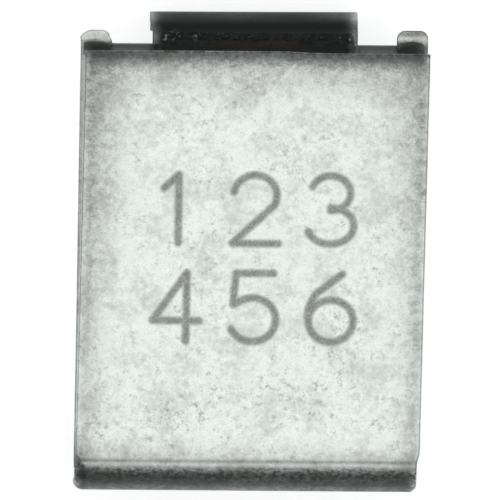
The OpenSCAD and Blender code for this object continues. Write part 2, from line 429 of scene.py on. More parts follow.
def fold(s, plate, height, sheet, flat=False):
    """Middle of a folded sheet in side view at the place s. A flat plate up to
    the place plate is followed by a quarter turn, an upright wall, a quarter
    turn the same way and a flat foot. Where flat is true the plate runs on
    without a turn. Returns the place along the part, the height and the turn."""
    radius = sheet.middle
    quarter = radius * math.pi / 2
    wall = height - 2 * sheet.outer
    first = np.clip(s - plate, 0, quarter) / radius
    drop = np.clip(s - plate - quarter, 0, wall)
    second = np.clip(s - plate - quarter - wall, 0, quarter) / radius
    back = np.maximum(s - plate - 2 * quarter - wall, 0)
    along = np.minimum(s, plate) + radius * (np.sin(first) - 1 + np.cos(second)) - back
    straight = height - sheet.half
    level = straight - radius * (1 - np.cos(first) + np.sin(second)) - drop
    ways = ((s, along), (straight, level), (0.0, first + second))
    return tuple(np.where(flat, plain, folded) for plain, folded in ways)


def fold_lengths(plate, height, sheet):
    """Places s where a folded sheet's parts end: first turn, wall, second turn
    and foot."""
    quarter = sheet.middle * math.pi / 2
    foot = sheet.foot_length - sheet.outer
    return np.cumsum([plate, quarter, height - 2 * sheet.outer, quarter, foot])[1:]


def foot_rows(wall, turned_in, end, sheet):
    """Places from the end of the wall through the last bend and the foot."""
    return np.concatenate([
        steps(wall, turned_in, TURN_STEP), steps(turned_in, end - sheet.foot_corner, FOOT_STEP),
        corner_rows(end, sheet.foot_corner, 10), end - EDGE_STEPS[:7],
    ])


def placed(x, s, lift, side, plate, height, sheet, flat=False):
    """Points of a folded sheet's face: the middle of the sheet, moved by lift
    along its normal. Side is 1 where the bend is at the +Y end and -1 at -Y."""
    along, level, turn = fold(s, plate, height, sheet, flat)
    return np.stack([x, side * (along + lift * np.sin(turn)), level + lift * np.cos(turn)], -1)


# Numbers on the plate

def arc(cx, cy, rx, ry, start, stop):
    """Points on an ellipse's arc between two angles in degrees."""
    turn = np.radians(np.linspace(start, stop, 25))
    return np.stack([cx + rx * np.cos(turn), cy + ry * np.sin(turn)], 1)


def digit_strokes():
    """Strokes of the digits 1 to 6 in a cell of width 1 and height 1: each digit
    is a list of point chains, whose neighbours are joined by straight lines."""
    one = [np.array([[0.20, 0.80], [0.52, 1.0], [0.52, 0.0]])]
    two = [np.concatenate([arc(0.5, 0.70, 0.46, 0.30, 170, -28), [[0.02, 0.0], [1.0, 0.0]]])]
    three = [arc(0.46, 0.745, 0.42, 0.255, 160, -90), arc(0.46, 0.265, 0.50, 0.265, 90, -160)]
    four = [np.array([[1.0, 0.30], [0.0, 0.30], [0.72, 1.0], [0.72, 0.0]])]
    five = [np.concatenate([
        [[0.92, 1.0], [0.12, 1.0], [0.06, 0.54]], arc(0.48, 0.32, 0.50, 0.32, 130, -155),
    ])]
    six = [np.concatenate([[[0.74, 1.0]], arc(0.86, 0.36, 0.86, 0.56, 140, 180)]),
           arc(0.5, 0.31, 0.48, 0.31, 0, 360)]
    return [one, two, three, four, five, six]


def mark_distance(x, y, marks):
    """Distance from each point to the nearest stroke's middle line, for two rows
    of three digits."""
    starts, runs = [], []
    for k, digit in enumerate(digit_strokes()):
        row = marks.first_row if k < 3 else marks.second_row
        left = marks.middle_x + (k % 3 - 1) * marks.pitch - marks.width / 2
        for chain in digit:
            line = chain * (marks.width, marks.height) + (left, row - marks.height / 2)
            starts.append(line[:-1])
            runs.append(np.diff(line, axis=0))
    return segment_gap(x, y, np.concatenate(starts), np.concatenate(runs))


# Materials

class Nodes:
    """An emptied node tree. Each call adds what it says and returns the socket
    that holds the result."""

    def __init__(self, owner):
        owner.use_nodes = True
        self.tree = owner.node_tree
        self.tree.nodes.clear()

    def new(self, kind, sockets=None, **settings):
        """A new node itself, with its settings, and with each named or numbered
        input either linked to a socket or set to a value."""
        made = self.tree.nodes.new(kind)
        for key, value in settings.items():
            setattr(made, key, value)
        for key, value in (sockets or {}).items():
            if isinstance(value, bpy.types.NodeSocket):
                self.tree.links.new(value, made.inputs[key])
            else:
                made.inputs[key].default_value = value
        return made

    def calc(self, operation, a, b=0.0, c=0.0, clamp=False):
        """One step of arithmetic between sockets and numbers."""
        sockets = {0: a, 1: b, 2: c}
        return self.new("ShaderNodeMath", sockets, operation=operation, use_clamp=clamp).outputs[0]

    def add(self, a, b, clamp=False):
        return self.calc("ADD", a, b, clamp=clamp)

    def less(self, a, b):
        return self.calc("SUBTRACT", a, b)

    def times(self, a, b, clamp=False):
        return self.calc("MULTIPLY", a, b, clamp=clamp)

    def line(self, a, slope, offset, clamp=False):
        """A value times a slope, plus an offset."""
        return self.calc("MULTIPLY_ADD", a, slope, offset, clamp)

    def around(self, a, size):
        """A value between 0 and 1, spread evenly about 0 over a given size."""
        return self.line(a, size, -size / 2)

    def vector(self, operation, *values, **named):
        """Both outputs of one step of arithmetic between vectors."""
        sockets = {**dict(enumerate(values)), **named}
        return self.new("ShaderNodeVectorMath", sockets, operation=operation).outputs

    def mix(self, factor, a, b):
        """A mix of two colours."""
        a, b = (c if isinstance(c, bpy.types.NodeSocket) else (*c, 1.0) for c in (a, b))
        return self.new("ShaderNodeMix", {0: factor, 6: a, 7: b}, data_type="RGBA").outputs[2]

    def ramp(self, value, low, high, out_low=0.0, out_high=1.0):
        """A smooth step of a value between two places, from one level to another."""
        sockets = {0: value, 1: low, 2: high, 3: out_low, 4: out_high}
        return self.new("ShaderNodeMapRange", sockets, interpolation_type="SMOOTHSTEP").outputs[0]


class Surface(Nodes):
    """The node tree of a new material, which knows the place on the part."""

    def __init__(self, name):
        self.material = bpy.data.materials.new(name)
        super().__init__(self.material)
        coordinates = self.new("ShaderNodeTexCoord").outputs["Object"]
        self.place = self.vector("SCALE", coordinates, Scale=1 / MM)[0]

    def cloud(self, scale, detail, roughness, stretch=(1, 1, 1), shift=0.0):
        """Noise with patches of about 1/scale millimetres, stretched if wanted."""
        moved = self.new(
            "ShaderNodeMapping",
            {"Vector": self.place, "Location": (shift, shift * 1.7, shift * 0.6), "Scale": stretch},
        ).outputs[0]
        return self.new(
            "ShaderNodeTexNoise",
            {"Vector": moved, "Scale": scale, "Detail": detail, "Roughness": roughness},
        ).outputs[0]

    def reading(self, name):
        """A number that the mesh holds at each vertex."""
        return self.new("ShaderNodeAttribute", attribute_name=name).outputs["Fac"]

    def scratch_distance(self, start, end):
        """Distance in plan from a straight scratch: the place less its nearest
        point on the scratch, as a length."""
        run = np.array(end) - np.array(start)
        plan = self.vector("MULTIPLY", self.place, (1, 1, 0))[0]
        gap = self.vector("SUBTRACT", plan, (*start, 0))[0]
        dot = self.vector("DOT_PRODUCT", gap, (*(run / (run ** 2).sum()), 0))["Value"]
        along = self.add(dot, 0.0, clamp=True)
        step = self.vector("SCALE", (*run, 0), Scale=along)[0]
        return self.vector("LENGTH", self.vector("SUBTRACT", gap, step)[0])["Value"]

    def finish(self, colour, metallic, roughness, height, depth, **more):
        """Ends the material in one shader, with a bump of the given depth, and
        returns it."""
        sockets = {"Base Color": colour, "Metallic": metallic, "Roughness": roughness, **more}
        sockets["Normal"] = self.new(
            "ShaderNodeBump", {"Strength": 1.0, "Distance": depth * MM, "Height": height}
        ).outputs[0]
        shader = self.new("ShaderNodeBsdfPrincipled", sockets)
        self.new("ShaderNodeOutputMaterial", {"Surface": shader.outputs[0]})
        return self.material


# Starts and ends of the fine scratches in plan
LIGHT_SCRATCHES = (
    ((0.72, 3.38), (0.16, 2.75)), ((-2.86, -2.40), (-3.18, -2.87)), ((-3.04, -3.08), (-3.14, -3.37)),
)
DARK_SCRATCHES = (
    ((-1.16, 2.80), (-0.93, 2.60)), ((0.39, 2.00), (0.99, 1.19)), ((1.80, -1.14), (1.99, -1.27)),
    ((-1.29, 2.47), (-1.09, 2.47)), ((-0.94, -2.74), (-1.71, -3.18)),
)


def tin_plate(name, finishes, marks=None):
    """Matt tin plating: cloudy light and grey patches, fine grain, dark specks, tarnish with painted
    shade and painted highlights where the mesh says so, and with marks also those and scratches."""
    tin = Surface(name)
    wide = tin.cloud(1.6, 6.0, 0.62)
    patches = tin.cloud(7.5, 5.0, 0.78, shift=3.0)
    grain = tin.cloud(30.0, 3.0, 0.6, shift=7.0)
    mottle = tin.add(tin.line(wide, 0.70, -0.16), tin.times(patches, 0.62))
    grey = tin.ramp(mottle, 0.41, 0.68, 0.0, 0.94)
    colour = tin.mix(grey, finishes.bright_tin, finishes.dull_tin)
    colour = tin.mix(tin.ramp(grain, 0.42, 0.76, 0.0, 0.55), colour, finishes.dull_tin)

    clusters = tin.ramp(tin.cloud(2.2, 3.0, 0.6, shift=15.0), 0.42, 0.66, 0.07, 0.74)
    clusters = tin.add(clusters, tin.reading("grime"), clamp=True)
    peppered = tin.times(tin.ramp(tin.cloud(9.0, 4.0, 0.75, shift=13.0), 0.50, 0.68), clusters)
    colour = tin.mix(peppered, colour, finishes.pepper)
    specks = tin.ramp(tin.cloud(10.0, 3.0, 0.6, shift=11.0), 0.64, 0.76, 0.0, 0.34)
    colour = tin.mix(specks, colour, finishes.speck)

    # Tarnish and painted shade: full where the mesh's shade is 0; half-tones break up into patches,
    # smooth or crumbly as the mesh's crust says
    dark = tin.less(1.0, tin.reading("shade"))
    stained = tin.times(tin.times(dark, 1.6, clamp=True), tin.ramp(wide, 0.45, 0.62))
    colour = tin.mix(tin.times(stained, 0.4), colour, finishes.warm)
    halftone = tin.times(tin.times(dark, tin.less(1.0, dark)), 4.0)
    crumbs = tin.cloud(11.5, 4.0, 0.68, stretch=(1, 1.4, 1.4), shift=21.0)
    crust = tin.reading("crust")
    crisp = tin.times(tin.ramp(crumbs, 0.42, 0.58, -0.5, 0.5), tin.calc("MAXIMUM", crust, 0.0))
    patch = tin.add(tin.around(patches, 0.7), tin.around(grain, 0.45))
    patch = tin.times(patch, tin.add(tin.calc("MINIMUM", crust, 0.0), 1.0))
    patch = tin.line(crisp, 0.40, patch)
    tarnish = tin.line(patch, tin.times(halftone, halftone), dark, clamp=True)
    tarnish = tin.line(specks, tin.times(dark, -0.12), tarnish, clamp=True)
    colour = tin.mix(tarnish, colour, finishes.slate_and_shade)

    height = tin.add(tin.times(patches, 1.2), tin.times(grain, 0.7))
    height = tin.less(height, tin.times(specks, 0.8))
    rough = tin.line(specks, 0.2, tin.line(patches, 0.25, 0.30))

    if marks:
        for scratches, tone, strength, width in (
            (LIGHT_SCRATCHES, finishes.light_scratch, 0.46, 0.040),
            (DARK_SCRATCHES, finishes.dark_scratch, 0.36, 0.018),
        ):
            nearest = tin.scratch_distance(*scratches[0])
            for start, end in scratches[1:]:
                nearest = tin.calc("MINIMUM", nearest, tin.scratch_distance(start, end))
            nearest = tin.add(nearest, tin.around(grain, 0.03))
            drawn = tin.ramp(nearest, width * 0.4, width, strength, 0.0)
            colour = tin.mix(tin.times(drawn, tin.ramp(patches, 0.38, 0.6)), colour, tone)
            height = tin.less(height, drawn)

        ragged = tin.add(tin.around(grain, 0.05), tin.around(patches, 0.05))
        edge = tin.add(tin.reading("mark"), ragged)
        burnt = tin.ramp(edge, marks.stroke * 0.16, marks.stroke * 0.78, 1.0, 0.0)
        uneven = tin.times(
            tin.ramp(tin.cloud(26.0, 2.0, 0.6, shift=19.0), 0.36, 0.62, 0.62, 1.0),
            tin.ramp(tin.cloud(7.0, 3.0, 0.7, shift=23.0), 0.38, 0.60, 0.78, 1.0),
        )
        colour = tin.mix(tin.times(burnt, uneven), colour, marks.colour)
        rough = tin.line(burnt, 0.22, rough)
        height = tin.less(height, tin.times(burnt, 1.5))

    tint = {"Specular Tint": (*finishes.tin_tint, 1.0)}
    return tin.finish(colour, 1.0, rough, height, depth=0.0022, **tint)


def fluxed_solder(name, finishes):
    """Rough solder under burnt flux: near black, brown where the flux is thin,
    with small glints of bare metal."""
    flux = Surface(name)
    rough_zone = flux.reading("rough_zone")
    lumps = flux.cloud(9.0, 6.0, 0.7)
    grain = flux.cloud(34.0, 4.0, 0.65, shift=5.0)
    brown = flux.ramp(flux.cloud(3.2, 3.0, 0.6, stretch=(1, 4, 4), shift=9.0), 0.36, 0.60, 0.25, 1.0)
    brown = flux.times(brown, flux.reading("amber"))
    colour = flux.mix(brown, finishes.flux, finishes.flux_brown)
    black = flux.times(rough_zone, flux.ramp(lumps, 0.42, 0.60))
    colour = flux.mix(black, colour, finishes.charred)
    colour = flux.mix(flux.ramp(grain, 0.50, 0.75, 0.0, 0.8), colour, finishes.flux_dust)
    sparkle = flux.reading("sparkle")
    glint = flux.line(sparkle, 0.13, flux.cloud(21.0, 2.0, 0.5, shift=2.0))
    glint = flux.add(glint, flux.around(flux.cloud(5.0, 2.0, 0.5, shift=27.0), 0.24))
    glint = flux.times(flux.ramp(glint, 0.62, 0.82), flux.add(rough_zone, sparkle, clamp=True))
    colour = flux.mix(glint, colour, finishes.glint)
    dulled = flux.add(flux.reading("bare"), flux.around(lumps, 0.2), clamp=True)
    colour = flux.mix(dulled, colour, finishes.grey_solder)
    rough = flux.line(glint, -0.25, flux.line(grain, 0.4, 0.35))
    height = flux.add(flux.times(lumps, 2.0), grain)
    height = flux.times(height, flux.line(rough_zone, 0.4, 0.15))
    metal = flux.times(flux.calc("MAXIMUM", glint, dulled), 0.9)
    return flux.finish(colour, metal, rough, height, depth=0.006, **{"Specular IOR Level": 0.15})


def nickel_foil(name, finishes):
    """Rolled foil, cut with the chip: dull, faintly drawn along the cut."""
    foil = Surface(name)
    drawn = foil.cloud(8.0, 4.0, 0.6, stretch=(1, 1, 12))
    spots = foil.cloud(14.0, 3.0, 0.6, shift=4.0)
    colour = foil.mix(foil.ramp(drawn, 0.35, 0.7), finishes.nickel, finishes.dark_nickel)
    colour = foil.mix(foil.ramp(spots, 0.6, 0.75, 0.0, 0.7), colour, finishes.foil_spot)
    return foil.finish(colour, 1.0, foil.line(spots, 0.3, 0.3), drawn, depth=0.003)


def carbon_polymer(name, finishes):
    """Black filled polymer, sawn on its sides: fine saw lines, grain and a few
    greyer rubs."""
    black = Surface(name)
    saw = black.cloud(5.0, 5.0, 0.65, stretch=(0.6, 0.6, 7))
    grain = black.cloud(26.0, 4.0, 0.6, shift=6.0)
    rub = black.ramp(black.cloud(1.7, 4.0, 0.6, shift=8.0), 0.5, 0.72, 0.0, 0.8)
    colour = black.mix(rub, finishes.polymer, finishes.polymer_rub)
    colour = black.mix(black.ramp(grain, 0.5, 0.8, 0.0, 0.5), colour, finishes.polymer_dust)
    height = black.add(black.times(saw, 1.5), grain)
    return black.finish(colour, 0.0, black.line(grain, 0.3, 0.45), height, depth=0.006)


def dress(piece, material, slot_name, *nodes):
    """Gives a piece its material, and puts it on the body in place of its CAD nodes. The slot name is
    not used."""
    piece.data.materials.append(material)
    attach(piece, BODY)
    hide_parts(*nodes)


# Upper terminal

# Clean share of the tin with painted shade worked in, by the distance from the free edge, and past the
# bend
FREE_EDGE_SHADE = (
    [0, 0.02, 0.045, 0.08, 0.12, 0.17, 0.225, 0.28, 0.33, 0.44, 0.6, 0.75, 0.9, 1.2],
    [0.24, 0.22, 0.15, 0.13, 0.19, 0.31, 0.42, 0.56, 0.66, 0.75, 0.80, 0.88, 0.94, 1.0],
)
BEND_SHADE = (
    [-0.5, -0.35, -0.2, -0.1, -0.06, -0.035, -0.012, 0.004, 0.02, 0.04, 0.06, 0.08, 0.10, 0.125,
     0.16, 0.20, 0.26, 0.34, 0.40, 0.455, 0.52, 0.66],
    [1, 0.96, 0.87, 0.79, 0.72, 0.64, 0.45, 0.40, 0.50, 0.66, 0.68, 0.55, 0.42, 0.34,
     0.265, 0.20, 0.15, 0.09, 0.105, 0.17, 0.22, 0.28],
)
# How crumbly the tarnish is past the bend: 1 in crumbs, below 0 smooth
BEND_CRUST = ([-0.10, -0.05, 0.08, 0.11, 0.14, 0.26, 0.42], [0, -0.7, -0.7, 0.5, 1, 1, 0.45])
# Bands of painted shade beside the long sides: places from the free edge, and there the depths and
# widths on the left and on the right
BAND_PLACES = [0.3, 1.2, 2.7, 4.5, 6.2]
LEFT_SHADE_BAND = ([0.40, 0.50, 0.40, 0.32, 0.20], [0.62, 0.62, 0.62, 0.42, 0.42])
RIGHT_SHADE_BAND = ([0.34, 0.42, 0.36, 0.28, 0.22], [0.62, 0.62, 0.55, 0.42, 0.36])
# Patches of grime: middle across and along, reach across and along, strength
GRIME = (
    (-1.40, -3.00, 0.55, 0.26, 0.9), (0.35, 1.60, 0.35, 0.30, 0.5), (2.3, 0.30, 0.30, 0.45, 0.4),
    (-2.75, -3.30, 0.30, 0.40, 0.5), (1.9, -1.35, 0.40, 0.25, 0.5), (-1.0, -0.35, 0.40, 0.20, 0.4),
    (0.0, -2.70, 3.20, 0.85, 0.22),
)
# How far the free edge waves along the part, by the place across it
FREE_EDGE_WAVE = (
    [-3.2, -1.6, -0.6, 0.6, 1.0, 1.4, 3.2], [-0.004, 0.008, 0.011, 0.011, -0.010, -0.018, -0.014],
)


def upper_grid(sheet, sizes, marks):
    """The upper terminal laid out flat: the grid, its kept cells, the places of
    its lines and sides, and the distance from its outline."""
    top = UPPER[1][2]
    bend = -UPPER[0][1] - sheet.outer
    start = -UPPER[1][1]
    turned, wall, turned_in, end = fold_lengths(bend, top, sheet)
    shoulder = turned + (top - sheet.outer - sizes.shoulder_height)

    def on_sheet(plan):
        """Place along the sheet of a plan place, given from the bend."""
        turn = np.arcsin(np.clip(plan / sheet.outer, 0, 1))
        return bend + np.where(plan > 0, turn * sheet.middle, plan)

    mark_low = -marks.first_row - 0.75 * marks.height
    mark_high = -marks.second_row + 0.75 * marks.height
    lead = max(sizes.lead_left, sizes.lead_right)
    crease = 0.04
    rows = rows_at(
        start + EDGE_STEPS, steps(start + EDGE_STEPS[-1], mark_low, PLAIN_STEP),
        steps(mark_low, mark_high, MARK_STEP), steps(mark_high, bend - lead - crease, PLAIN_STEP),
        steps(bend - lead - crease, bend - crease, BEND_STEP), bend + np.linspace(-crease, crease, 11),
        steps(bend + crease, turned, BEND_STEP),
        steps(turned, shoulder - sizes.shoulder_round, WALL_STEP),
        corner_rows(shoulder, sizes.shoulder_round, 12),
        shoulder - EDGE_STEPS[:6], shoulder + EDGE_STEPS[:6],
        shoulder + sizes.leg_fillet * (1 - np.cos(np.linspace(0, math.pi / 2, 9))),
        steps(shoulder + sizes.leg_fillet, wall, WALL_STEP), foot_rows(wall, turned_in, end, sheet),
    )
    shoulder_in = corner_arc(rows, shoulder, sizes.shoulder_round)
    plate_left = BODY_HALF - sizes.left_inset
    flared = plate_left + sizes.left_flare
    left_y = -sizes.lead_left + np.array([0, sizes.notch_flank, sizes.notch_flank + sizes.notch_return])
    left = np.interp(
        rows, [start, *on_sheet(left_y)],
        [plate_left, flared, flared - sizes.notch_depth, BODY_HALF - sizes.wall_left],
    ) - shoulder_in
    right_y = -sizes.lead_right + np.array([0, sizes.notch_flank])
    right = np.interp(
        rows, [start, *on_sheet(right_y)],
        [BODY_HALF, BODY_HALF - sizes.taper, BODY_HALF - sizes.wall_right],
    ) - shoulder_in
    spread = np.clip(shoulder + sizes.leg_fillet - rows, 0, sizes.leg_fillet)
    leg = sheet.foot_half + sizes.leg_fillet - np.sqrt(sizes.leg_fillet ** 2 - spread ** 2)
    leg = leg - corner_arc(rows, end, sheet.foot_corner)
    outer = span(BODY_HALF - sheet.foot_half - sizes.leg_fillet, PLAIN_STEP, far_edge=False)
    inner = span(2 * (sheet.foot_half + sizes.leg_fillet), MARK_STEP)
    x, strips = columns([-left, -leg, leg, right], [outer, inner, 1 - outer[::-1]])
    s = np.broadcast_to(rows, x.shape)
    wide_rows = (rows[1:] + rows[:-1]) / 2 < shoulder
    cells = (strips == 1)[:, None] | wide_rows[None, :]
    return SimpleNamespace(
        x=x, s=s, cells=cells, distance=outline_distance(x, s, cells), top=top, start=start,
        bend=bend, turned=turned, shoulder=shoulder, left=left, right=right, leg=leg,
        notched=flared - sizes.notch_depth,
    )


def upper_lifts(at, sheet, sizes):
    """How far the upper terminal's two faces lie from the middle of its sheet."""
    on_wall = np.interp(at.s, [at.bend + 0.3, at.bend + 0.6], [0, 1]) * (at.s < at.shoulder + 0.3)
    edge_round = sheet.edge + (sizes.wall_round - sheet.edge) * on_wall
    chamfer = np.maximum(sizes.wall_chamfer * on_wall - at.distance, 0)
    drop = rounded(at.distance, np.where(at.x < 0, edge_round, sheet.edge))
    drop = np.where(at.x < 0, drop, np.maximum(drop, chamfer))
    lift = sheet.half - drop
    lift -= sizes.droop * np.exp(-(at.s - at.start) / sizes.droop_reach)
    groove = np.maximum(1 - np.abs(at.s - at.bend) / (sizes.groove_width / 2), 0)
    lift -= sizes.groove_depth * groove ** 1.5
    return lift, -sheet.half + rounded(at.distance, sheet.burr)


def upper_shade_and_tarnish(at, sizes):
    """The upper terminal's numbers for its material: shade, the clean share of the tin with painted
    shade and painted highlights worked in; crust, how crumbly the tarnish is; and grime, where specks
    gather."""
    x, s = at.x, at.s
    from_free, past, before = s - at.start, s - at.bend, np.maximum(at.bend - s, 0)
    from_left, from_right = np.maximum(x + at.left, 0), np.maximum(at.right - x, 0)
    on_plate = np.clip(1 + (at.bend - s) / 0.04, 0, 1)

    # Painted shade and tarnish near the free edge, with a painted highlight along the edge itself
    free = np.interp(from_free, *FREE_EDGE_SHADE)
    free += 0.07 * lattice_noise(x / 0.10, s * 0, 52) * bell(from_free, 0.035)

    # Painted shade along each long side: a wide soft band, and a narrow one a little way in
    side = 1.0
    for gap, (depths, widths) in ((from_left, LEFT_SHADE_BAND), (from_right, RIGHT_SHADE_BAND)):
        depth, width = (np.interp(from_free, BAND_PLACES, band) for band in (depths, widths))
        side = side * (1 - depth * bell(gap, width) - 0.10 * bell(gap - 0.16, 0.075))
    # Painted shade at both corners by the bend, a painted highlight on it, and painted shade on the
    # flanks of the notch
    side *= 1 - 0.34 * bell(from_left, 0.32) * bell(before, 0.35) * on_plate
    side *= 1 - 0.12 * bell(from_right, 0.30) * bell(before, 0.60)
    side *= 1 + 0.22 * bell(from_right, 0.32) * bell(past, 0.09)
    side *= 1 - 0.20 * bell(from_left, 0.022) * (before < 0.1) * (past < 0.08)
    side *= 1 - 0.16 * bell(from_left, 0.07) * bell(before, 0.45) * on_plate

    # Painted shade and tarnish before and on the bend, with a painted highlight just past the groove
    rear = np.interp(past, *BEND_SHADE)
    rear += 0.05 * lattice_noise(x / 0.22, s / 0.15, 51) * bell(before - 0.13, 0.12) * (past < 0)
    rear += 0.035 * grow(x, -1.2, 0.8) * bell(past - 0.27, 0.08)
    # Painted shade in the notch
    in_notch = grow(-x, at.notched - 0.09, 0.06) * grow(past, 0.045, 0.03)
    rear = rear * (1 - in_notch) + 0.03 * in_notch
    shade = free * side * rear
    # Painted shade with tarnish on the wall past the bend
    shade = np.where(s > at.turned, np.interp(s - at.turned, [0, 0.5], [0.15, 0.6]), shade)

    # Painted highlights at the ends of the bend
    on_bend = np.interp(past, [0.05, 0.15, 0.7, 1.0], [0, 1, 1, 0])
    from_wall = np.maximum(x + BODY_HALF - sizes.wall_left, 0)
    left_end_highlight = bell(from_wall, np.interp(past, [0.12, 0.30, 0.48], [0.09, 0.11, 0.14]))
    left_end_highlight *= np.maximum(on_bend, in_notch) * np.interp(past, [0.2, 0.4], [0.28, 0.38])
    shade = shade + np.maximum(left_end_highlight, 0.38 * bell(from_right, 0.10) * on_bend)

    # Painted shade at the corners of the free edge, with a painted highlight at its tip, and painted
    # highlights along the rim of the plate
    corner = bell(from_left, 1.2) + bell(from_right, 1.9)
    shade = np.clip(shade * (1 - 0.34 * corner * bell(from_free, 0.38)), 0, 1)
    shade += 0.06 * grow(np.abs(x), 2.0, 0.4) * bell(from_free - 0.01, 0.025)
    rim_highlights = 0.12 * bell(from_left, 0.08) * np.clip(before / 0.8, 0, 1)
    rim_highlights += 0.18 * bell(from_right, 0.05)
    rim_highlights += 0.17 * bell(from_left, 0.085) * bell(from_free - 0.2, 0.17)
    rim_highlights += 0.29 * bell(from_right - 0.03, 0.075) * bell(from_free - 0.13, 0.13)
    shade = np.minimum(shade + rim_highlights * (past < 0), 1)

    crust = np.interp(past, *BEND_CRUST) * (s < at.turned)
    crust += 0.5 * bell(from_free - 0.10, 0.10) + 0.9 * bell(from_free, 0.04)
    grime = sum(
        strength * bell(x - across, wide) * bell(s + along, deep)
        for across, along, wide, deep, strength in GRIME
    )
    return {"shade": shade, "crust": crust, "grime": grime}


class FUSE_OT_upper_terminal(bpy.types.Operator):
    """Build the upper plate with its wall, leg and foot from one folded sheet."""

    bl_idname = "fuse.upper_terminal"
    bl_label = "Upper Terminal"

    def execute(self, context):
        scene = context.scene
        sheet, sizes = sheet_sizes(scene), millimetres(scene.fuse_upper)
        marks = millimetres(scene.fuse_marks)
        at = upper_grid(sheet, sizes, marks)
        lift, under = upper_lifts(at, sheet, sizes)
        wave = np.interp(at.x, *FREE_EDGE_WAVE) * np.clip(1 - (at.s - at.start) / 0.5, 0, 1)
        # On the bend the left edge is cut upright, so the lower face is drawn back
        turn = fold(at.s, at.bend, at.top, sheet)[2]
        cut_back = (lift - under) * np.sin(turn) * bell(at.distance, 0.08)
        cut_back *= (at.x < -at.leg[0]) * np.interp(at.s - at.bend, [0.14, 0.42], [1, 0])

        def face(rise, shift=0.0):
            points = placed(at.x, at.s, rise, -1, at.bend, at.top, sheet)
            points[..., 1] += wave - shift
            return points

        mark = np.where(at.s < at.bend, mark_distance(at.x, -at.s, marks), 1.0)
        piece = closed_shell(
            "upper_terminal_sheet", [face(lift), face(under, cut_back)], at.cells,
            {"mark": mark, **upper_shade_and_tarnish(at, sizes)},
        )
        material = tin_plate("marked tin plate", scene.fuse_finishes, marks)
        dress(piece, material, "tin_plate", "upper_terminal")
        return {"FINISHED"}


# Lower terminal

# How far the left side is drawn in besides: places from the rear edge, and the
# depths there, with 0 from a last place on that lies before the slots
LEFT_DRAW = ((0, 0.12, 0.4, 3), [0.024, 0.019, 0.018, 0.013, 0])
# Clean share of the tin on the tab past the bend, burnt dark and with painted shade, and the painted
# highlights added at the ends of its bend, by the distance from the neck's left and right side
TAB_SHADE = ([-0.1, 0.1, 0.16, 0.22, 0.3, 0.75, 0.95], [0.02, 0, 0, 0.006, 0.004, 0, 0.4])
TAB_LEFT_HIGHLIGHT = ([0, 0.03, 0.065, 0.10, 0.14, 0.20], [0.22, 0.44, 0.28, 0.14, 0.06, 0])
TAB_RIGHT_HIGHLIGHT = (
    [0, 0.02, 0.055, 0.09, 0.13, 0.165, 0.20, 0.30], [0.3, 0.50, 0.48, 0.34, 0.20, 0.10, 0.04, 0],
)
TAB_END_HIGHLIGHT = ([0.02, 0.14, 0.27, 0.36, 0.60], [0.42, 0.56, 1, 0.88, 0.84])
# On the nubs past the slots, what the right nub has of it, and the share that is
# left near the flux, by the distance outside its edge
NUB_SHADE = ([-0.2, -0.05, 0.02, 0.08], [0.3, 0.4, 0.6, 0.85])
RIGHT_NUB = ([0, 0.04, 0.075, 0.13, 0.165, 0.20], [0.6, 0.7, 0.88, 0.88, 0.64, 0.48])
FLUX_EDGE = ([-0.12, -0.04, 0.015, 0.052], [0.06, 0.12, 0.46, 1.0])
# Painted shade on the strip that shows beside the upper plate: across it, the same near the rear edge,
# and along it
STRIP_SHADE_ACROSS = ([0, 0.02, 0.04, 0.06], [0.58, 0.66, 0.88, 1.0])
STRIP_SHADE_REAR = ([0, 0.05, 0.086, 0.122, 0.158], [0.36, 0.29, 0.15, 0.055, 0.012])
STRIP_SHADE_ALONG = ([0, 0.05, 0.16, 0.38, 0.6, 0.9], [0.22, 0.28, 0.38, 0.48, 0.74, 1])


